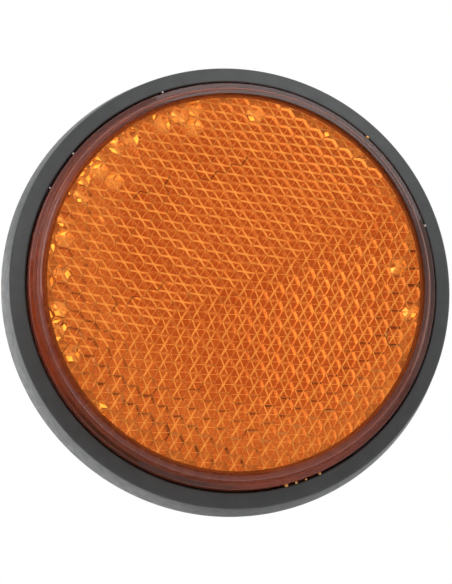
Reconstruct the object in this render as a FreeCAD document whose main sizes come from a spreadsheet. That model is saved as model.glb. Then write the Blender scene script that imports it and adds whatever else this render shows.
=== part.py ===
"""Round bolt-on reflector: an amber lens in a black moulded housing with a threaded stud at the back.

Each piece is drawn as it is seen from the front: X to the right, Y up and Z towards the viewer,
with Z = 0 on the face that is bolted against the bracket. UPRIGHT then stands it up in the
part's own frame, where +Z is up and the lens looks along -Y.
"""

import FreeCAD
import Part
import math
import os

import Sketcher
from FreeCAD import Placement, Rotation, Vector

# Driving dimensions in millimetres, angles in degrees
SIZES = {
    # housing
    "rim_width": 1.9,
    "rim_height": 5.05,
    "rim_crown": 0.95,
    "rim_edge": 0.3,
    "mouth_edge": 0.15,
    "wall_flare": 0.85,
    "back_thickness": 2.4,
    "back_recess": 0.8,
    "foot_width": 3.5,
    "pad_radius": 9.0,
    "relief_gap": 0.5,
    "relief_depth": 0.4,
    "seat_step": 0.6,
    "seat_overlap": 0.3,
    "boss_wall": 1.6,
    "boss_cover": 0.8,
    # lens
    "lens_radius": 28.7,
    "lens_gap": 0.3,
    "lens_height": 6.35,
    "flange_height": 4.15,
    "flange_edge": 0.3,
    "shoulder_width": 0.7,
    "face_taper": 0.4,
    "face_round": 0.95,
    "plate_thickness": 1.4,
    "skirt_thickness": 1.9,
    "skirt_draft": 0.16,
    "field_margin": 0.35,
    "prism_pitch": 2.47,
    "prism_root": 0.4,
    "zone_angle": 26.0,
    # stud
    "stud_diameter": 5.0,
    "stud_length": 12.0,
    "stud_chamfer": 0.5,
    "neck_step": 0.3,
    "head_depth": 1.2,
    "head_thickness": 1.6,
    "head_overhang": 1.5,
}

# Sizes that follow from the driving ones, as expressions
BORE_RADIUS = "(Sizes.lens_radius + Sizes.lens_gap)"
RIM_RADIUS = f"({BORE_RADIUS} + Sizes.rim_width)"
BASE_RADIUS = f"({RIM_RADIUS} + Sizes.wall_flare)"
MOUTH_HEIGHT = "(Sizes.rim_height + Sizes.rim_crown)"
SEAT_HEIGHT = "(Sizes.back_thickness + Sizes.seat_step)"
SKIRT_BOTTOM = "(Sizes.lens_radius - Sizes.skirt_thickness)"
SKIRT_TOP = f"({SKIRT_BOTTOM} - Sizes.skirt_draft)"
SEAT_RADIUS = f"({SKIRT_BOTTOM} - Sizes.seat_overlap)"
PLATE_BACK = "(Sizes.lens_height - Sizes.plate_thickness)"
FIELD_RADIUS = f"({SKIRT_TOP} - Sizes.field_margin)"
FACE_FOOT = "(Sizes.lens_radius - Sizes.shoulder_width)"
FACE_RADIUS = f"({FACE_FOOT} - Sizes.face_taper)"
STUD_RADIUS = "(Sizes.stud_diameter / 2)"
NECK_RADIUS = f"({STUD_RADIUS} - Sizes.neck_step)"
HEAD_INRADIUS = f"({STUD_RADIUS} + Sizes.head_overhang)"
HEAD_CORNER = f"({HEAD_INRADIUS} / cos(30 deg))"
HEAD_TOP = "(Sizes.head_depth + Sizes.head_thickness)"
RELIEF_RADIUS = f"({STUD_RADIUS} + Sizes.relief_gap)"
BOSS_RADIUS = f"({HEAD_CORNER} + Sizes.boss_wall)"
BOSS_TOP = f"({HEAD_TOP} + Sizes.boss_cover)"

UPRIGHT = Rotation(Vector(1, 0, 0), 90)
SEW_TOLERANCE = 1e-6

doc = FreeCAD.newDocument("round_reflector")
sheet = doc.addObject("Spreadsheet::Sheet", "Sizes")
for row, (alias, value) in enumerate(SIZES.items(), start=1):
    sheet.set(f"A{row}", alias)
    sheet.set(f"B{row}", str(value))
    sheet.setAlias(f"B{row}", alias)
doc.recompute()


def size(expression):
    """The number that an expression over the sheet stands for."""
    value = sheet.evalExpression(expression)
    return float(getattr(value, "Value", value))


def origin_plane(body, role):
    return next(f for f in body.Origin.OriginFeatures if f.Role == role)


def sketch_on(body, name, role):
    """A sketch attached to one of its body's own origin planes."""
    sketch = body.newObject("Sketcher::SketchObject", name)
    sketch.AttachmentSupport = [(origin_plane(body, role), "")]
    sketch.MapMode = "FlatFace"
    return sketch


def pin_point(sketch, line, radius, height):
    """Ties the start of a line to a radius and a height, given as expressions."""
    for kind, axis, expression in (("DistanceX", -2, radius), ("DistanceY", -1, height)):
        value = size(expression)
        if value == 0:
            sketch.addConstraint(Sketcher.Constraint("PointOnObject", line, 1, axis))
            continue
        ends = (-1, 1, line, 1) if value > 0 else (line, 1, -1, 1)
        index = sketch.addConstraint(Sketcher.Constraint(kind, *ends, abs(value)))
        sketch.setExpression(f"Constraints[{index}]", expression if value > 0 else f"-{expression}")


def turned_body(name, corners):
    """A body turned about Z from a closed outline of (radius, height) expressions."""
    body = doc.addObject("PartDesign::Body", name)
    sketch = sketch_on(body, f"{name}_outline", "XZ_Plane")
    points = [Vector(size(radius), size(height), 0) for radius, height in corners]
    for start, end in zip(points, points[1:] + points[:1]):
        sketch.addGeometry(Part.LineSegment(start, end))
    for line in range(len(corners)):
        following = (line + 1) % len(corners)
        sketch.addConstraint(Sketcher.Constraint("Coincident", line, 2, following, 1))
    for line, (radius, height) in enumerate(corners):
        pin_point(sketch, line, radius, height)
    turned = body.newObject("PartDesign::Revolution", f"{name}_turned")
    turned.Profile = sketch
    turned.ReferenceAxis = (sketch, ["V_Axis"])
    turned.Angle = 360
    doc.recompute()
    return body


def edge_at(body, radius, height):
    """The name of the body's round edge at that radius and height, given as expressions."""
    wanted = (size(radius), size(height))

    def miss(edge):
        if not isinstance(edge.Curve, Part.Circle):
            return math.inf
        return math.dist((edge.Curve.Radius, edge.Curve.Center.z), wanted)

    edges = body.Shape.Edges
    return f"Edge{min(range(len(edges)), key=lambda i: miss(edges[i])) + 1}"


def soften_edge(body, kind, radius, height, amount):
    """Breaks one round edge of a body with a Fillet or a Chamfer by a size of the sheet."""
    sharp, edge = body.Tip, edge_at(body, radius, height)
    softened = body.newObject(f"PartDesign::{kind}", f"{amount}_softened")
    softened.Base = (sharp, [edge])
    softened.setExpression("Radius" if kind == "Fillet" else "Size", f"Sizes.{amount}")
    doc.recompute()


def stand_up(piece, height=None):
    """Stands a piece upright, its own Z = 0 at that height above the back face."""
    piece.Placement = Placement(Vector(0, 0, 0), UPRIGHT)
    if height:
        piece.setExpression("Placement.Base.y", f"-{height}")


def make_stud():
    """Threaded stud: a hexagon head and a thin neck that the housing is moulded round."""
    body = turned_body("stud", [
        ("0", "-Sizes.stud_length"),
        (f"({STUD_RADIUS} - Sizes.stud_chamfer)", "-Sizes.stud_length"),
        (STUD_RADIUS, "-(Sizes.stud_length - Sizes.stud_chamfer)"),
        (STUD_RADIUS, "0"),
        (NECK_RADIUS, "0"),
        (NECK_RADIUS, "Sizes.head_depth"),
        ("0", "Sizes.head_depth"),
    ])
    sketch = sketch_on(body, "head_outline", "XY_Plane")
    sketch.setExpression("AttachmentOffset.Base.z", "Sizes.head_depth")
    corner = size(HEAD_CORNER)
    points = [Vector(corner * math.cos(math.radians(60 * k)), corner * math.sin(math.radians(60 * k)), 0)
              for k in range(6)]
    for k in range(6):
        sketch.addGeometry(Part.LineSegment(points[k], points[(k + 1) % 6]))
    circle = sketch.addGeometry(Part.Circle(Vector(0, 0, 0), Vector(0, 0, 1), corner), True)
    sketch.addConstraint(Sketcher.Constraint("Coincident", circle, 3, -1, 1))
    radius = sketch.addConstraint(Sketcher.Constraint("Radius", circle, corner))
    sketch.setExpression(f"Constraints[{radius}]", HEAD_CORNER)
    for k in range(6):
        sketch.addConstraint(Sketcher.Constraint("Coincident", k, 2, (k + 1) % 6, 1))
        sketch.addConstraint(Sketcher.Constraint("PointOnObject", k, 1, circle))
    for k in range(5):
        sketch.addConstraint(Sketcher.Constraint("Equal", k, k + 1))
    sketch.addConstraint(Sketcher.Constraint("PointOnObject", 0, 1, -1))
    head = body.newObject("PartDesign::Pad", "head")
    head.Profile = sketch
    head.setExpression("Length", "Sizes.head_thickness")
    doc.recompute()
    stand_up(body)
    return body


def make_housing(stud):
    """Shallow cup with a crowned rim, a ledge for the lens and a boss that holds the stud's head.

    The back has a coring recess between its foot ring and the pad round the stud, and a small
    relief in the pad keeps it clear of the stud's thread.
    """
    foot_radius = f"({BASE_RADIUS} - Sizes.foot_width)"
    cup = turned_body("cup", [
        ("0", "Sizes.relief_depth"),
        (RELIEF_RADIUS, "Sizes.relief_depth"),
        (RELIEF_RADIUS, "0"),
        ("Sizes.pad_radius", "0"),
        ("Sizes.pad_radius", "Sizes.back_recess"),
        (foot_radius, "Sizes.back_recess"),
        (foot_radius, "0"),
        (BASE_RADIUS, "0"),
        (RIM_RADIUS, "Sizes.rim_height"),
        (BORE_RADIUS, MOUTH_HEIGHT),
        (BORE_RADIUS, SEAT_HEIGHT),
        (SEAT_RADIUS, SEAT_HEIGHT),
        (SEAT_RADIUS, "Sizes.back_thickness"),
        (BOSS_RADIUS, "Sizes.back_thickness"),
        (BOSS_RADIUS, BOSS_TOP),
        ("0", BOSS_TOP),
    ])
    soften_edge(cup, "Chamfer", RIM_RADIUS, "Sizes.rim_height", "rim_edge")
    soften_edge(cup, "Chamfer", BORE_RADIUS, MOUTH_HEIGHT, "mouth_edge")
    stand_up(cup)
    housing = doc.addObject("Part::Cut", "housing")
    housing.Base = cup
    housing.Tool = stud
    return housing


def make_prism_block():
    """Block of cube-corner prisms under the lens face, wider than the field that is cut from it.

    Seen from the front each prism is a hexagon. Its corners lie by turns at no depth and at one
    step, and its apex lies two steps deep, so that its three faces stand square to one another.
    A line across the middle splits the field, and the prisms beyond it are turned by half a turn.
    """
    pitch, root = size("Sizes.prism_pitch"), size("Sizes.prism_root")
    reach = size(FIELD_RADIUS) + pitch
    corner, step, row_gap = pitch / math.sqrt(3), pitch / math.sqrt(6), pitch * math.sqrt(3) / 2
    turn = math.radians(size("Sizes.zone_angle"))
    along = Vector(math.cos(turn), math.sin(turn), 0)
    across = Vector(-math.sin(turn), math.cos(turn), 0)
    spokes = [Vector(math.cos(turn + math.radians(30 + 60 * k)),
                     math.sin(turn + math.radians(30 + 60 * k)), 0) * corner for k in range(6)]
    count = math.ceil(reach / row_gap) + 1

    def key(point):
        return (round(point.x, 5), round(point.y, 5))

    # For each outline edge, the prisms that meet there: their zone and the edge's two ends
    edges, faces = {}, []
    for row in range(-count, count):
        zone = 0 if row >= 0 else 1
        for column in range(-count, count + 1):
            middle = across * ((row + 0.5) * row_gap) + along * ((column + (row % 2) / 2) * pitch)
            if middle.Length > reach:
                continue
            rim = [middle + spoke for spoke in spokes]
            depths = [step if (k + zone) % 2 == 0 else 0.0 for k in range(6)]
            low = [Vector(p.x, p.y, -d) for p, d in zip(rim, depths)]
            apex = Vector(middle.x, middle.y, -2 * step)
            for k in range(1 - zone, 6, 2):
                outline = [apex, low[k - 1], low[k], low[(k + 1) % 6]]
                faces.append((zone, outline))
            faces.append((None, [Vector(p.x, p.y, root) for p in rim]))
            for k in range(6):
                ends = (low[k], low[(k + 1) % 6])
                edges.setdefault(frozenset(map(key, ends)), []).append((zone, ends))

    # Where the two zones meet, their edges cross at half a step: both faces get that corner
    crossings = {name: (sides[0][1][0] + sides[0][1][1]) * 0.5
                 for name, sides in edges.items() if len(sides) == 2 and sides[0][0] != sides[1][0]}

    def with_crossings(outline):
        corners = []
        for start, end in zip(outline, outline[1:] + outline[:1]):
            corners.append(start)
            crossing = crossings.get(frozenset((key(start), key(end))))
            if crossing and start.z > -1.5 * step and end.z > -1.5 * step:
                corners.append(crossing)
        return corners

    def face(corners):
        return Part.Face(Part.makePolygon(corners + corners[:1]))

    shell = [face(outline if zone is None else with_crossings(outline)) for zone, outline in faces]
    for name, sides in edges.items():
        (start, end) = sides[0][1]
        if name in crossings:
            shell += [face([point, Vector(point.x, point.y, -step - point.z), crossings[name]])
                      for point in (start, end)]
        elif len(sides) == 1:
            shell.append(face([start, end, Vector(end.x, end.y, root), Vector(start.x, start.y, root)]))
    sewn = Part.Shell(shell)
    sewn.sewShape(SEW_TOLERANCE)
    solid = Part.Solid(sewn)
    if solid.Volume < 0:
        solid.reverse()
    block = doc.addObject("Part::Feature", "prism_block")
    block.Shape = solid
    return block


def make_lens():
    """Clear amber cap: a flat face on a stepped skirt, with the prism field moulded into its back."""
    blank = turned_body("lens_blank", [
        ("0", PLATE_BACK),
        (SKIRT_TOP, PLATE_BACK),
        (SKIRT_BOTTOM, "0"),
        ("Sizes.lens_radius", "0"),
        ("Sizes.lens_radius", "Sizes.flange_height"),
        (FACE_FOOT, "Sizes.flange_height"),
        (FACE_RADIUS, "Sizes.lens_height"),
        ("0", "Sizes.lens_height"),
    ])
    soften_edge(blank, "Chamfer", "Sizes.lens_radius", "Sizes.flange_height", "flange_edge")
    soften_edge(blank, "Fillet", FACE_RADIUS, "Sizes.lens_height", "face_round")
    block = make_prism_block()
    field = doc.addObject("Part::Cylinder", "prism_field")
    field.setExpression("Radius", FIELD_RADIUS)
    field.setExpression("Height", "Sizes.lens_height")
    stand_up(blank, SEAT_HEIGHT)
    stand_up(field, SEAT_HEIGHT)
    stand_up(block, f"({SEAT_HEIGHT} + {PLATE_BACK})")
    prisms = doc.addObject("Part::Common", "prisms")
    prisms.Base = block
    prisms.Tool = field
    lens = doc.addObject("Part::Fuse", "lens")
    lens.Base = blank
    lens.Tool = prisms
    return lens


def check_and_export(pieces):
    """Stops on any failed object or bad shape, then writes one STEP file for each piece."""
    doc.recompute()
    failed = [o.Label for o in doc.Objects if {"Invalid", "Error"} & set(o.State)]
    bad = [p.Label for p in pieces if p.Shape.isNull() or not p.Shape.isValid() or not p.Shape.Solids]
    if failed or bad:
        raise RuntimeError(f"failed objects: {failed}, bad shapes: {bad}")
    os.makedirs("parts", exist_ok=True)
    for piece in pieces:
        piece.Shape.exportStep(f"parts/{piece.Label}.step")
        box = piece.Shape.optimalBoundingBox()
        print(f"{piece.Label}: {len(piece.Shape.Solids)} solid, {len(piece.Shape.Faces)} faces, "
              f"{piece.Shape.Volume:.1f} mm3, "
              f"{box.XLength:.2f} x {box.YLength:.2f} x {box.ZLength:.2f} mm")


stud_piece = make_stud()
check_and_export([stud_piece, make_housing(stud_piece), make_lens()])
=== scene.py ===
import math
import random

import bmesh
import bpy
from mathutils import Matrix, Vector


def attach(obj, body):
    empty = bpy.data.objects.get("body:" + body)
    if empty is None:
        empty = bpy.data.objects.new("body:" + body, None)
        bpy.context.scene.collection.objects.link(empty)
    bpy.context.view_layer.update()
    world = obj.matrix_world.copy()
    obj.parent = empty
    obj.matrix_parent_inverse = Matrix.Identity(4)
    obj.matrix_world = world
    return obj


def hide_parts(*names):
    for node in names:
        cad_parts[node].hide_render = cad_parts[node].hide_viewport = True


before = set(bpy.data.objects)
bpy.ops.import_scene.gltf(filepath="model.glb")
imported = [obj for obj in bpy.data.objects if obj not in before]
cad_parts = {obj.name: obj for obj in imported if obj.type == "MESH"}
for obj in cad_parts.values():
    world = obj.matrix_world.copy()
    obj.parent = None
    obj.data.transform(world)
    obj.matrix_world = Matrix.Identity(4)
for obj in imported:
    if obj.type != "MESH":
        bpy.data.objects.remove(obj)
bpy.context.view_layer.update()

# Sizes in millimetres, as seen from the front: X right, Y up, Z towards the viewer, Z = 0 at the back face
MM = 0.001
RING_STEPS = 240
CLOSE = 0.01

# housing
LENS_RADIUS, LENS_GAP = 28.7, 0.3
BORE_RADIUS = LENS_RADIUS + LENS_GAP
RIM_RADIUS = BORE_RADIUS + 1.9
BASE_RADIUS = RIM_RADIUS + 0.85
RIM_CORNER = 31.15
RIM_HEIGHT, MOUTH_HEIGHT = 5.05, 6.0
BACK_RECESS, FOOT_RADIUS, PAD_RADIUS = 0.8, BASE_RADIUS - 3.5, 9.0
RELIEF_RADIUS, RELIEF_DEPTH = 3.0, 0.4
HEAD_HALF_FLATS = 4.0
HEAD_CORNER = HEAD_HALF_FLATS / math.cos(math.radians(30))
HEAD_BOTTOM, HEAD_TOP = 1.2, 2.8
BOSS_RADIUS, BOSS_TOP = HEAD_CORNER + 1.6, HEAD_TOP + 0.8
SEAT_HEIGHT, FLOOR_HEIGHT = 3.0, 2.4
SKIRT_BOTTOM, SKIRT_TOP = 26.8, 26.64
SEAT_RADIUS = SKIRT_BOTTOM - 0.3
SKIRT_FOOT = SEAT_HEIGHT + 0.05

# stud
STUD_RADIUS, NECK_RADIUS, STUD_LENGTH, STUD_CHAMFER = 2.5, 2.2, 12.0, 0.5
THREAD_PITCH, THREAD_DEPTH, THREAD_START = 0.8, 0.46, 0.7
CREST_HALF, FLANK_WIDTH = 0.125, 0.3125
STUD_STEPS, THREAD_ROWS = 72, 16

# lens
FLANGE_TOP, FACE_HEIGHT, PLATE_BACK = 7.15, 9.35, 7.95
FACE_FOOT, FACE_RADIUS = 28.0, 27.6
SHOULDER_EDGE = FLANGE_TOP - 0.2
FIELD_RADIUS = 26.29
FIELD_LIMIT = FIELD_RADIUS * math.cos(math.pi / RING_STEPS)
FROST_TOP = 5.2
PITCH = 2.47
ZONE_ANGLE = math.radians(26.0)
FIELD_SHIFT = (-0.04, -0.155)
# Half width of the rounded ridges, by zone and direction, and of the grooves
RIDGE_HALF = {0: (0.045, 0.17, 0.16), 1: (0.11, 0.175, 0.05)}
GROOVE_HALF = 0.06
# The lens's materials, by index
CLEAR, FACET, EDGE, GROOVE, FROSTED, SPARK, INNER, WALL, LEDGE = range(9)

# Glinting flats at the margin of the prism field: where they start, their share of the faces up to each
# direction in degrees round from the right, their size against the face, and their slope and its spread
SPARK_START = 21.0
SPARK_SHARES = ((100, 0.08), (195, 0.4), (225, 0.3), (360, 0.015))
SPARK_SIZES = (0.3, 0.75)
SPARK_TILT, SPARK_SPREAD = Vector((0.075, 0.21)), 0.14

# Specks lodged in the gap round the lens: degrees round from the right, how far out of the gap's middle,
# size, and material (0 amber crumb, 1 pale dust)
SPECKS = ((-75.3, 0, 0.56, 0), (-72.4, 0, 0.4, 0), (-69.5, 0, 0.34, 0), (-65.3, 0, 0.42, 0),
          (47.6, 0.16, 0.5, 0), (18.0, 0.16, 0.34, 1), (109.1, 0.1, 0.3, 1), (140.2, 0, 0.3, 1),
          (152.0, 0, 0.26, 1))
SPECK_RADIUS, SPECK_HEIGHT = LENS_RADIUS + LENS_GAP / 2, MOUTH_HEIGHT + 0.02
SPECK_LUMPS = (0.85, 1.15)

chance = random.Random(11)


def upright(x, y, z):
    """A point of the front view, in the row frame."""
    return Vector((x, -z, y)) * MM


def placed(name, data):
    thing = bpy.data.objects.new(name, data)
    bpy.context.scene.collection.objects.link(thing)
    return thing


def rounded(corners):
    """Outline of (radius, height, rounding) corners with each rounding drawn as an arc."""
    outline = []
    count = len(corners)
    for i, (r, z, rounding) in enumerate(corners):
        here = Vector((r, z))
        if not rounding:
            outline.append(here)
            continue
        before = (Vector(corners[i - 1][:2]) - here).normalized()
        after = (Vector(corners[(i + 1) % count][:2]) - here).normalized()
        half = before.angle(after) / 2
        reach = rounding / math.tan(half)
        middle = here + (before + after).normalized() * rounding / math.sin(half)
        start, end = here + before * reach - middle, here + after * reach - middle
        sweep = start.angle_signed(end)
        steps = max(3, round(abs(sweep) / math.radians(12)))
        for step in range(steps + 1):
            outline.append(middle + Matrix.Rotation(-sweep * step / steps, 2) @ start)
    return outline


def mesh_object(name, points, faces, slots, materials, smooth_angle=35):
    mesh = bpy.data.meshes.new(name)
    mesh.from_pydata([upright(*p) for p in points], [], faces)
    for material in materials:
        mesh.materials.append(material)
    mesh.polygons.foreach_set("material_index", slots)
    mesh.polygons.foreach_set("use_smooth", [True] * len(faces))
    mesh.set_sharp_from_angle(angle=math.radians(smooth_angle))
    mesh.validate()
    return placed(name, mesh)


def turned(outline):
    """Points and faces of an outline turned about the axis. Ends on the axis become one point."""
    points, rings = [], []
    turns = [2 * math.pi * k / RING_STEPS for k in range(RING_STEPS)]
    for r, z in outline:
        if r < 1e-6:
            rings.append([len(points)] * RING_STEPS)
            points.append((0, 0, z))
        else:
            rings.append(list(range(len(points), len(points) + RING_STEPS)))
            points += [(r * math.cos(a), r * math.sin(a), z) for a in turns]
    faces = []
    for low, high in zip(rings, rings[1:]):
        for k in range(RING_STEPS):
            n = (k + 1) % RING_STEPS
            corners = []
            for v in (low[k], low[n], high[n], high[k]):
                if v not in corners:
                    corners.append(v)
            if len(corners) > 2:
                faces.append(corners)
    return points, faces


def principled(name, **values):
    material = bpy.data.materials.new(name)
    material.use_nodes = True
    shader = material.node_tree.nodes["Principled BSDF"]
    for socket, value in values.items():
        shader.inputs[socket.replace("_", " ")].default_value = value
    return material


def ramped(tree, value, start, end, low=0.0, high=1.0):
    """A value between start and end turned into one between low and high."""
    node = tree.nodes.new("ShaderNodeMapRange")
    for socket, number in zip(("From Min", "From Max", "To Min", "To Max"), (start, end, low, high)):
        node.inputs[socket].default_value = number
    tree.links.new(value, node.inputs["Value"])
    return node.outputs["Result"]


def mixed(tree, factor, plain, colour, blend="MIX"):
    """The plain colour mixed with another by a factor."""
    mix = tree.nodes.new("ShaderNodeMix")
    mix.data_type, mix.blend_type = "RGBA", blend
    colours = [socket for socket in mix.inputs if socket.type == "RGBA"]
    colours[1].default_value = (*colour, 1)
    tree.links.new(factor, mix.inputs["Factor"])
    tree.links.new(plain, colours[0])
    return [socket for socket in mix.outputs if socket.type == "RGBA"][0]


def detailed(name, dark, light, grain, roughness, bump=0.0, stretch=(1, 1, 1), **values):
    """A surface whose colour runs from dark to light in a grain of so many millimetres.

    roughness is (least, most); bump is the height of its finest grain in millimetres, and stretch
    draws the grain out along an axis.
    """
    material = principled(name, **values)
    tree = material.node_tree
    shader = tree.nodes["Principled BSDF"]
    place = tree.nodes.new("ShaderNodeTexCoord")
    mapping = tree.nodes.new("ShaderNodeMapping")
    mapping.inputs["Scale"].default_value = stretch
    tree.links.new(place.outputs["Object"], mapping.inputs["Vector"])
    least, most = 0.3, 0.7

    def noise(size, octaves):
        node = tree.nodes.new("ShaderNodeTexNoise")
        node.inputs["Scale"].default_value = 1 / (size * MM)
        node.inputs["Detail"].default_value = octaves
        tree.links.new(mapping.outputs["Vector"], node.inputs["Vector"])
        return node.outputs["Fac"]

    ramp = tree.nodes.new("ShaderNodeValToRGB")
    for element, position, colour in zip(ramp.color_ramp.elements, (least, most), (dark, light)):
        element.position, element.color = position, (*colour, 1)
    tree.links.new(noise(grain, 4), ramp.inputs["Fac"])
    tree.links.new(ramp.outputs["Color"], shader.inputs["Base Color"])
    tree.links.new(ramped(tree, noise(grain * 0.4, 3), least, most, *roughness), shader.inputs["Roughness"])
    if bump:
        relief = tree.nodes.new("ShaderNodeBump")
        relief.inputs["Distance"].default_value = bump * MM
        tree.links.new(noise(grain * 0.12, 2), relief.inputs["Height"])
        tree.links.new(relief.outputs["Normal"], shader.inputs["Normal"])
    return material


def add_painted_glint_dots(material, count, radius, height, size, colour):
    """A row of painted glints, light dots on a darker band: the lit ends of the prism rows, seen through the
    wall.
    """
    tree = material.node_tree
    shader = tree.nodes["Principled BSDF"]
    plain = shader.inputs["Base Color"].links[0].from_socket

    def math_node(operation, first, second=0.0):
        node = tree.nodes.new("ShaderNodeMath")
        node.operation = operation
        for socket, value in zip(node.inputs, (first, second)):
            if isinstance(value, float):
                socket.default_value = value
            else:
                tree.links.new(value, socket)
        return node.outputs[0]

    place = tree.nodes.new("ShaderNodeTexCoord")
    axes = tree.nodes.new("ShaderNodeSeparateXYZ")
    tree.links.new(place.outputs["Object"], axes.inputs[0])
    turn = math_node("ARCTAN2", axes.outputs["Z"], axes.outputs["X"])
    turn = math_node("FRACT", math_node("MULTIPLY", turn, count / (2 * math.pi)))
    along = math_node("MULTIPLY", math_node("SUBTRACT", turn, 0.5), 2 * math.pi * radius / count)
    rise = math_node("ADD", math_node("MULTIPLY", axes.outputs["Y"], 1 / MM), height)
    squares = math_node("ADD", math_node("MULTIPLY", along, along), math_node("MULTIPLY", rise, rise))
    dot = ramped(tree, math_node("SQRT", squares), size, size * 0.5)
    # Noise makes some dots stronger than others
    patches = tree.nodes.new("ShaderNodeTexNoise")
    patches.inputs["Scale"].default_value = 1 / (2 * MM)
    tree.links.new(place.outputs["Object"], patches.inputs["Vector"])
    strength = ramped(tree, patches.outputs["Fac"], 0.35, 0.6)
    band = ramped(tree, math_node("ABSOLUTE", rise), 0.7, 0.4)
    ground = mixed(tree, band, plain, (0.85, 0.74, 0.64), "MULTIPLY")
    dotted = mixed(tree, math_node("MULTIPLY", dot, strength), ground, colour)
    tree.links.new(dotted, shader.inputs["Base Color"])


def soften_margin(material, centre, start, end, least):
    """A mirror-like face that scatters more light away from centre: metallic falls from 1 to least."""
    tree = material.node_tree
    place = tree.nodes.new("ShaderNodeTexCoord")
    shifted = tree.nodes.new("ShaderNodeVectorMath")
    shifted.operation = "SUBTRACT"
    shifted.inputs[1].default_value = (centre[0] * MM, 0, centre[1] * MM)
    flat = tree.nodes.new("ShaderNodeVectorMath")
    flat.operation = "MULTIPLY"
    flat.inputs[1].default_value = (1, 0, 1)
    reach = tree.nodes.new("ShaderNodeVectorMath")
    reach.operation = "LENGTH"
    tree.links.new(place.outputs["Object"], shifted.inputs[0])
    tree.links.new(shifted.outputs["Vector"], flat.inputs[0])
    tree.links.new(flat.outputs["Vector"], reach.inputs[0])
    fall = ramped(tree, reach.outputs["Value"], start * MM, end * MM, 1.0, least)
    tree.links.new(fall, tree.nodes["Principled BSDF"].inputs["Metallic"])


def painted_shade_across(material, turn, start, end, share):
    """A surface with painted shade, darkening in one direction down to a share of its colour.

    turn is the direction in degrees round from the right; start and end are distances along it.
    """
    tree = material.node_tree
    shader = tree.nodes["Principled BSDF"]
    plain = shader.inputs["Base Color"].links[0].from_socket
    place = tree.nodes.new("ShaderNodeTexCoord")
    across = tree.nodes.new("ShaderNodeVectorMath")
    across.operation = "DOT_PRODUCT"
    across.inputs[1].default_value = (math.cos(math.radians(turn)), 0, math.sin(math.radians(turn)))
    tree.links.new(place.outputs["Object"], across.inputs[0])
    ramp = ramped(tree, across.outputs["Value"], start * MM, end * MM)
    shaded = mixed(tree, ramp, plain, (share, share, share), "MULTIPLY")
    tree.links.new(shaded, shader.inputs["Base Color"])


black = detailed("black_moulding", (0.0405, 0.0445, 0.0465), (0.0515, 0.0565, 0.0585), 2.5, (0.36, 0.48),
                 bump=0.012, Specular_IOR_Level=0.31)
clear = detailed("amber_clear", (0.98, 0.37, 0.078), (1.0, 0.39, 0.086), 6.0, (0.012, 0.03), IOR=1.49,
                 Transmission_Weight=1.0)
facet = detailed("amber_facet", (0.97, 0.86, 0.78), (1.0, 0.93, 0.87), 4.0, (0.07, 0.13), Metallic=1.0)
soften_margin(facet, (4.0, 4.0), 19.0, 25.0, 0.895)
edge = detailed("amber_edge", (0.76, 0.72, 0.62), (0.93, 0.89, 0.79), 3.0, (0.45, 0.6),
                Specular_IOR_Level=0.0)
groove = detailed("amber_groove", (0.54, 0.43, 0.38), (0.7, 0.57, 0.52), 3.0, (0.45, 0.6),
                  Specular_IOR_Level=0.0)
frosted = detailed("amber_frosted", (0.8, 0.42, 0.28), (1.0, 0.57, 0.4), 2.0, (0.5, 0.7), bump=0.02,
                   Specular_IOR_Level=0.2)
# Painted shade on the frosted foot: darker towards the upper right and in a patch round -118 degrees
painted_shade_across(frosted, 45, -22.0, 24.0, 0.3)
painted_shade_across(frosted, -118, 22.5, 26.5, 0.33)
wall_clear = detailed("amber_wall", (0.29, 0.1, 0.04), (0.36, 0.128, 0.054), 6.0, (0.012, 0.03), IOR=1.49,
                      Transmission_Weight=1.0, Sheen_Weight=0.05)
inner = detailed("amber_inner", (0.74, 0.37, 0.185), (1.0, 0.56, 0.33), 1.2, (0.5, 0.7), bump=0.02,
                 Specular_IOR_Level=0.2)
# Painted glints: light dots on the inner wall where the lit prism rows end
add_painted_glint_dots(inner, 68.0, SKIRT_TOP, 7.42, 0.3, (1.0, 0.78, 0.42))
ledge = detailed("amber_ledge", (0.2, 0.1, 0.06), (0.3, 0.15, 0.09), 2.0, (0.5, 0.7), bump=0.02,
                 Specular_IOR_Level=0.2)
spark = detailed("amber_spark", (1.0, 0.7, 0.35), (1.0, 0.82, 0.48), 1.0, (0.12, 0.28), Metallic=1.0)
crumb = detailed("amber_crumb", (0.62, 0.3, 0.07), (0.9, 0.52, 0.16), 0.3, (0.35, 0.6), bump=0.02)
dust = detailed("pale_dust", (0.5, 0.48, 0.45), (0.68, 0.66, 0.63), 0.3, (0.7, 0.9), bump=0.02)
steel = detailed("plated_steel_bright", (0.5, 0.5, 0.49), (0.68, 0.69, 0.7), 1.6, (0.22, 0.38), bump=0.006,
                 stretch=(1, 0.4, 1), Metallic=1.0)


# The housing: a shallow cup with a crowned rim, a ledge for the lens and a boss over the stud's head
housing_outline = rounded([
    (0, RELIEF_DEPTH, 0), (RELIEF_RADIUS, RELIEF_DEPTH, 0), (RELIEF_RADIUS, 0, 0.15), (PAD_RADIUS, 0, 0.2),
    (PAD_RADIUS, BACK_RECESS, 0.2), (FOOT_RADIUS, BACK_RECESS, 0.2), (FOOT_RADIUS, 0, 0.2),
    (BASE_RADIUS, 0, 0.25), (RIM_CORNER, RIM_HEIGHT, 0.6), (BORE_RADIUS, MOUTH_HEIGHT, 0.2),
    (BORE_RADIUS, SEAT_HEIGHT, 0), (SEAT_RADIUS, SEAT_HEIGHT, 0), (SEAT_RADIUS, FLOOR_HEIGHT, 0),
    (BOSS_RADIUS, FLOOR_HEIGHT, 0.3), (BOSS_RADIUS, BOSS_TOP, 0.3), (0, BOSS_TOP, 0),
])
points, faces = turned(housing_outline)
housing = mesh_object("housing_moulding", points, faces, [0] * len(faces), [black])


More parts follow.
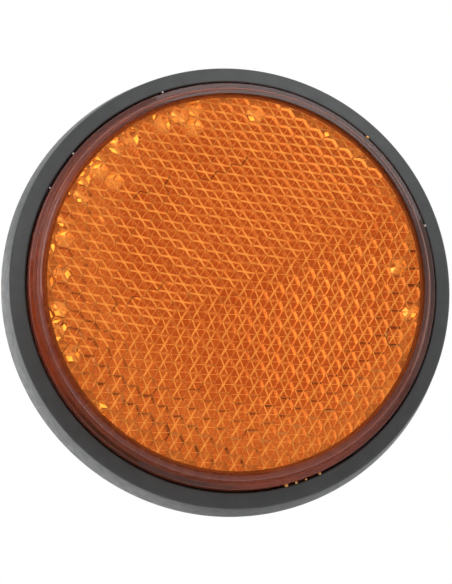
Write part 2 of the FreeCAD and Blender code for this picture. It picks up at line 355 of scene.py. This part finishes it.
# The stud: a hexagon head and a thin neck inside the housing, and a screw thread behind it
def thread_radius(angle, z):
    """Radius of the screw thread: a flat crest, a flat root and straight flanks."""
    phase = (z / THREAD_PITCH - angle / (2 * math.pi)) % 1.0
    rise = min(1.0, max(0.0, (abs(phase - 0.5) - CREST_HALF) / FLANK_WIDTH))
    fade = min(1.0, max(0.0, (-z - THREAD_START) / THREAD_PITCH))
    tip = STUD_RADIUS - max(0.0, STUD_CHAMFER - (z + STUD_LENGTH))
    return min(tip, STUD_RADIUS - THREAD_DEPTH * rise * fade)


def stud_ring(z, radius):
    return [(radius(a) * math.cos(a), radius(a) * math.sin(a), z)
            for a in (2 * math.pi * k / STUD_STEPS for k in range(STUD_STEPS))]


def hexagon(angle):
    return HEAD_HALF_FLATS / math.cos(angle % math.radians(60) - math.radians(30))


rows = round(STUD_LENGTH / THREAD_PITCH * THREAD_ROWS)
stud_rings = []
for row in range(rows + 1):
    height = -STUD_LENGTH + STUD_LENGTH * row / rows
    stud_rings.append(stud_ring(height, lambda a: thread_radius(a, height)))
stud_rings += [stud_ring(0, lambda a: NECK_RADIUS), stud_ring(HEAD_BOTTOM, lambda a: NECK_RADIUS),
               stud_ring(HEAD_BOTTOM, hexagon), stud_ring(HEAD_TOP, hexagon)]
points = [p for ring in stud_rings for p in ring]
faces = [[i * STUD_STEPS + k, i * STUD_STEPS + (k + 1) % STUD_STEPS,
          (i + 1) * STUD_STEPS + (k + 1) % STUD_STEPS, (i + 1) * STUD_STEPS + k]
         for i in range(len(stud_rings) - 1) for k in range(STUD_STEPS)]
faces.append(list(range(STUD_STEPS))[::-1])
faces.append(list(range(len(points) - STUD_STEPS, len(points))))
stud = mesh_object("stud_threaded", points, faces, [0] * len(faces), [steel])


# The lens: a clear moulding with a field of cube-corner prisms on its back
BACKWARD = Vector((0, 0, -1))


def facing(corners, outward):
    """The corners in the order that makes the polygon face outward."""
    normal = Vector()
    for p, q in zip(corners, corners[1:] + corners[:1]):
        normal += p.cross(q)
    return corners if normal.dot(outward) > 0 else corners[::-1]


def prism_cells():
    """Cells (zone, middle, rim corners) of the prism field, in two zones that meet on a line."""
    corner, row_gap = PITCH / math.sqrt(3), PITCH * math.sqrt(3) / 2
    along = Vector((math.cos(ZONE_ANGLE), math.sin(ZONE_ANGLE), 0))
    across = Vector((-math.sin(ZONE_ANGLE), math.cos(ZONE_ANGLE), 0))
    spokes = [Matrix.Rotation(ZONE_ANGLE + math.radians(30 + 60 * k), 3, "Z") @ Vector((corner, 0, 0))
              for k in range(6)]
    reach = FIELD_RADIUS + PITCH
    count = math.ceil(reach / row_gap) + 1
    shift = Vector((*FIELD_SHIFT, 0))
    cells = []
    for row in range(-count, count):
        for column in range(-count, count + 1):
            middle = shift + across * ((row + 0.5) * row_gap) + along * ((column + (row % 2) / 2) * PITCH)
            if middle.length <= reach:
                cells.append((0 if row >= 0 else 1, middle, [middle + spoke for spoke in spokes]))
    return cells


def prism_sheet():
    """Polygons (material, corners, outward) of the prism field: faces, bright ridges and dimmer grooves."""
    step = PITCH / math.sqrt(6)
    polygons, grooves, lows, mids = [], {}, {}, {}

    def key(p):
        return (round(p.x, 4), round(p.y, 4))

    cells = prism_cells()
    edge_zones = {}
    for zone, middle, rim in cells:
        for p, q in zip(rim, rim[1:] + rim[:1]):
            edge_zones.setdefault(frozenset((key(p), key(q))), set()).add(zone)

    for zone, middle, rim in cells:
        low = [Vector((p.x, p.y, -(step if (k + zone) % 2 == 0 else 0))) for k, p in enumerate(rim)]
        apex = Vector((middle.x, middle.y, -2 * step))
        tips = []
        ridge_sides = {}
        for k in range(1 - zone, 6, 2):
            k1, k2 = (k - 1) % 6, (k + 1) % 6
            m1, far, m2 = low[k1], low[k], low[k2]
            e1, e2 = (m1 - apex).normalized(), (m2 - apex).normalized()
            side = (m1 - apex).length
            r1, r2 = RIDGE_HALF[zone][k1 // 2], RIDGE_HALF[zone][k2 // 2]
            name1, name2 = frozenset((key(m1), key(far))), frozenset((key(far), key(m2)))
            g1 = 0 if len(edge_zones[name1]) == 2 else GROOVE_HALF
            g2 = 0 if len(edge_zones[name2]) == 2 else GROOVE_HALF

            def at(a, b):
                return apex + e1 * a + e2 * b

            c, p1 = at(r2, r1), at(side - g1, r1)
            l, p2 = at(side - g1, side - g2), at(r2, side - g2)
            polygons.append((FACET, [c, p1, l, p2], BACKWARD))
            tips.append(c)
            ridge_sides.setdefault(k1, []).append((c, p1))
            ridge_sides.setdefault(k2, []).append((c, p2))
            lows.setdefault(key(far), []).append(l)
            for m, p in ((m1, p1), (m2, p2)):
                mids.setdefault(key(m), []).append(p)
            grooves.setdefault(name1, []).append((zone, p1, l, m1, far, middle))
            grooves.setdefault(name2, []).append((zone, p2, l, m2, far, middle))
        polygons.append((EDGE, tips, BACKWARD))
        for (c1, q1), (c2, q2) in ridge_sides.values():
            polygons.append((EDGE, [c1, q1, q2, c2], BACKWARD))
    for sides in grooves.values():
        if len(sides) == 2:
            (z1, q1, l1, m1, f1, c1), (z2, q2, l2, m2, f2, c2) = sides
            if z1 == z2:
                polygons.append((GROOVE, [q1, l1, l2, q2], BACKWARD))
            else:
                crossing = (m1 + f1) / 2
                polygons.append((FACET, [m1, f2, crossing], c2 - c1))
                polygons.append((FACET, [f1, m2, crossing], c1 - c2))
    for around in list(lows.values()) + list(mids.values()):
        if len(around) < 3:
            continue
        centre = sum(around, Vector()) / len(around)
        around.sort(key=lambda p: math.atan2(p.y - centre.y, p.x - centre.x))
        polygons.append((GROOVE, around, BACKWARD))
    return polygons


def clip_to_field(corners):
    """A polygon cut back to the round field."""
    for k in range(RING_STEPS):
        angle = 2 * math.pi * (k + 0.5) / RING_STEPS
        outward = Vector((math.cos(angle), math.sin(angle), 0))
        depth = [p.dot(outward) - FIELD_LIMIT for p in corners]
        if max(depth) <= 1e-9:
            continue
        if min(depth) >= -1e-9:
            return []
        kept = []
        for i, p in enumerate(corners):
            q, dp, dq = corners[(i + 1) % len(corners)], depth[i], depth[(i + 1) % len(corners)]
            if dp <= 0:
                kept.append(p)
            if dp * dq < 0:
                kept.append(p.lerp(q, dp / (dp - dq)))
        corners = kept
    return corners


def spark_share(place):
    """The share of the faces at a place in the field that carry a glinting flat."""
    turn = math.degrees(math.atan2(place.y, place.x)) % 360
    share = next(share for limit, share in SPARK_SHARES if turn <= limit)
    reach = (Vector((place.x, place.y)).length - SPARK_START) / (FIELD_RADIUS - 1 - SPARK_START)
    return share * min(1.0, max(0.0, reach)) ** 3


def field_sheet():
    """Polygons (material, corners) of the prism field, cut to its rim and with the glinting flats set in."""
    sheet = []
    for slot, corners, outward in prism_sheet():
        corners = facing(corners, outward)
        if max(Vector((p.x, p.y)).length for p in corners) > FIELD_LIMIT:
            corners = clip_to_field(corners)
        if len(corners) < 3:
            continue
        middle = sum(corners, Vector()) / len(corners)
        if slot != FACET or chance.random() >= spark_share(middle):
            sheet.append((slot, corners))
            continue
        slope = SPARK_TILT + SPARK_SPREAD * Vector((chance.uniform(-1, 1), chance.uniform(-1, 1)))
        flat = []
        for p in corners:
            away = (p - middle).xy * chance.uniform(*SPARK_SIZES)
            flat.append(middle + Vector((away.x, away.y, -slope.dot(away))))
        sheet.append((SPARK, flat))
        for k in range(len(corners)):
            n = (k + 1) % len(corners)
            sheet.append((FACET, [corners[k], corners[n], flat[n], flat[k]]))
    return sheet


lens_outline = rounded([
    (0, FACE_HEIGHT, 0), (FACE_RADIUS, FACE_HEIGHT, 0.95), (FACE_FOOT, FLANGE_TOP, 0.15),
    (LENS_RADIUS, SHOULDER_EDGE, 0.25), (LENS_RADIUS, FROST_TOP, 0), (LENS_RADIUS, SKIRT_FOOT, 0),
    (SKIRT_BOTTOM, SKIRT_FOOT, 0), (SKIRT_TOP, PLATE_BACK, 0), (FIELD_RADIUS, PLATE_BACK, 0),
])
points, faces = turned(lens_outline)
faces = [corners[::-1] for corners in faces]
slots = []
for r, z in lens_outline[:-1]:
    behind = z < PLATE_BACK + CLOSE
    if behind and r < SKIRT_TOP + CLOSE:
        slot = LEDGE
    elif behind and r < SKIRT_BOTTOM + CLOSE:
        slot = INNER
    elif z < FROST_TOP + CLOSE:
        slot = FROSTED
    else:
        slot = WALL if r > 0 else CLEAR
    slots += [slot] * RING_STEPS
index = {}


def point_index(p):
    name = (round(p.x, 4), round(p.y, 4), round(p.z, 4))
    if name not in index:
        index[name] = len(points)
        points.append((p.x, p.y, p.z + PLATE_BACK))
    return index[name]


for slot, corners in field_sheet():
    ids = []
    for p in corners:
        i = point_index(p)
        if i not in ids:
            ids.append(i)
    if len(ids) > 2:
        faces.append(ids)
        slots.append(slot)
    # A side that lies on the field's rim gets a wall up to the plate
    for p, q in zip(corners, corners[1:] + corners[:1]):
        rp, rq = Vector((p.x, p.y)).length, Vector((q.x, q.y)).length
        middle = (Vector((p.x, p.y)) + Vector((q.x, q.y))) / 2
        if min(rp, rq, middle.length) > FIELD_LIMIT - 1e-4:
            wall = facing([p, q, Vector((q.x, q.y, 0)), Vector((p.x, p.y, 0))], Vector((p.x, p.y, 0)))
            ids = [point_index(v) for v in wall]
            if len(set(ids)) == 4:
                faces.append(ids)
                slots.append(EDGE if slot in (EDGE, GROOVE) else GROOVE)
lens_materials = [clear, facet, edge, groove, frosted, spark, inner, wall_clear, ledge]
lens = mesh_object("lens_moulding", points, faces, slots, lens_materials, smooth_angle=20)


# The specks in the gap
lumps = bmesh.new()
for turn, out, size, kind in SPECKS:
    reach, turn = SPECK_RADIUS + out, math.radians(turn)
    place = upright(reach * math.cos(turn), reach * math.sin(turn), SPECK_HEIGHT)
    before = len(lumps.faces)
    for v in bmesh.ops.create_icosphere(lumps, subdivisions=2, radius=size / 2 * MM)["verts"]:
        v.co = v.co * chance.uniform(*SPECK_LUMPS) + place
    lumps.faces.ensure_lookup_table()
    for face in lumps.faces[before:]:
        face.material_index, face.smooth = kind, True
speck_mesh = bpy.data.meshes.new("gap_specks")
lumps.to_mesh(speck_mesh)
lumps.free()
for material in (crumb, dust):
    speck_mesh.materials.append(material)
specks = placed("gap_specks", speck_mesh)
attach(specks, "root")

for piece, node, slot in ((housing, "housing", "black_plastic"), (lens, "lens", "amber_acrylic"),
                          (stud, "stud", "plated_steel")):
    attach(piece, "root")
    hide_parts(node)


# The camera: distance in metres, then the view's tilt and its direction, and the scale and aim in pixels
DISTANCE = 0.9
TILT, TURN = math.radians(12.73), math.radians(135.86)
PIXELS_PER_MM, PICTURE_HEIGHT = 7.118, 584
AIM_RIGHT, AIM_UP = 0.95, 0.91
SENSOR = 36


def from_picture(x, y, z):
    """A direction given as picture right, picture down and out of the lens, in the row frame."""
    return Vector((x, -z, -y))


back = from_picture(math.sin(TILT) * math.cos(TURN), math.sin(TILT) * math.sin(TURN), math.cos(TILT))
side = from_picture(math.cos(TILT) * math.cos(TURN), math.cos(TILT) * math.sin(TURN), -math.sin(TILT))
level = from_picture(-math.sin(TURN), math.cos(TURN), 0)
right = side * math.cos(TURN) - level * math.sin(TURN)
up = -(side * math.sin(TURN) + level * math.cos(TURN))
camera = placed("camera", bpy.data.cameras.new("camera"))
aim = (right * AIM_RIGHT + up * AIM_UP) / PIXELS_PER_MM * MM
view = Matrix((right, up, back)).transposed().to_4x4()
camera.matrix_world = Matrix.Translation(back * DISTANCE + aim) @ view
camera.data.sensor_width = SENSOR
camera.data.lens = SENSOR * PIXELS_PER_MM * 1000 * DISTANCE / PICTURE_HEIGHT
camera.data.clip_start = 0.01
bpy.context.scene.camera = camera


# The light and the floor, in metres and watts
WORLD_LIGHT, WORLD_SEEN = 0.66, 1.0
LAMPS = (("key", (0.5, -0.8, 1.0), 1.3, 9.6), ("fill", (-0.9, -0.7, 0.4), 0.65, 3),
         ("rim", (-0.2, 0.45, -0.1), 0.46, 0.75))
STAGE_HALF, STAGE_LEVEL = 3, -0.6

# The world is white where it is seen, also in a mirror or through glass, and dimmer as a light
world = bpy.data.worlds.new("studio")
bpy.context.scene.world = world
world.use_nodes = True
tree = world.node_tree
shade = tree.nodes["Background"]
path = tree.nodes.new("ShaderNodeLightPath")
seen = path.outputs["Is Camera Ray"]
for ray in ("Is Glossy Ray", "Is Transmission Ray"):
    either = tree.nodes.new("ShaderNodeMath")
    either.operation = "MAXIMUM"
    tree.links.new(seen, either.inputs[0])
    tree.links.new(path.outputs[ray], either.inputs[1])
    seen = either.outputs[0]
tree.links.new(ramped(tree, seen, 0.0, 1.0, WORLD_LIGHT, WORLD_SEEN), shade.inputs["Strength"])
shade.inputs["Color"].default_value = (1, 1, 1, 1)

for name, place, width, watts in LAMPS:
    light = bpy.data.lights.new(name, "AREA")
    light.size = width
    light.energy = watts
    holder = placed(name, light)
    holder.location = place
    holder.rotation_mode = "QUATERNION"
    holder.rotation_quaternion = (-Vector(place)).to_track_quat("-Z", "Y")
    holder.visible_camera = False


def square(name, half, height, material):
    mesh = bpy.data.meshes.new(name)
    corners = [(-half, -half, height), (half, -half, height), (half, half, height), (-half, half, height)]
    mesh.from_pydata(corners, [], [(0, 1, 2, 3)])
    mesh.materials.append(material)
    return placed(name, mesh)


floor_paint = detailed("floor_paint", (0.87, 0.87, 0.87), (0.91, 0.91, 0.91), 40.0, (0.6, 0.8))
floor = square("floor", STAGE_HALF, STAGE_LEVEL, floor_paint)


def card(name, towards, distance, width, shade):
    """A coloured board out of the picture that the prisms send light back from."""
    paint = principled(name + "_paint", Base_Color=(*shade, 1), Roughness=1.0, Specular_IOR_Level=0.0)
    board = square(name, width / 2, 0, paint)
    board.location = towards * distance
    board.rotation_mode = "QUATERNION"
    board.rotation_quaternion = (-towards).to_track_quat("Z", "Y")
    board.visible_camera = False


card("warm_card", (back + Vector((-0.15, 0, -0.15))).normalized(), 1.3, 1.5, (0.56, 0.28, 0.17))
card("side_card", Vector((-back.x, back.y, -back.z)), 1.2, 0.4, (0.45, 0.22, 0.12))

# Light goes through several prism faces on its way, so it needs more bounces and unblurred reflections
cycles = bpy.context.scene.cycles
cycles.blur_glossy = 0.0
cycles.max_bounces, cycles.glossy_bounces, cycles.transmission_bounces = 24, 20, 20
bpy.context.scene.view_settings.view_transform = "Standard"
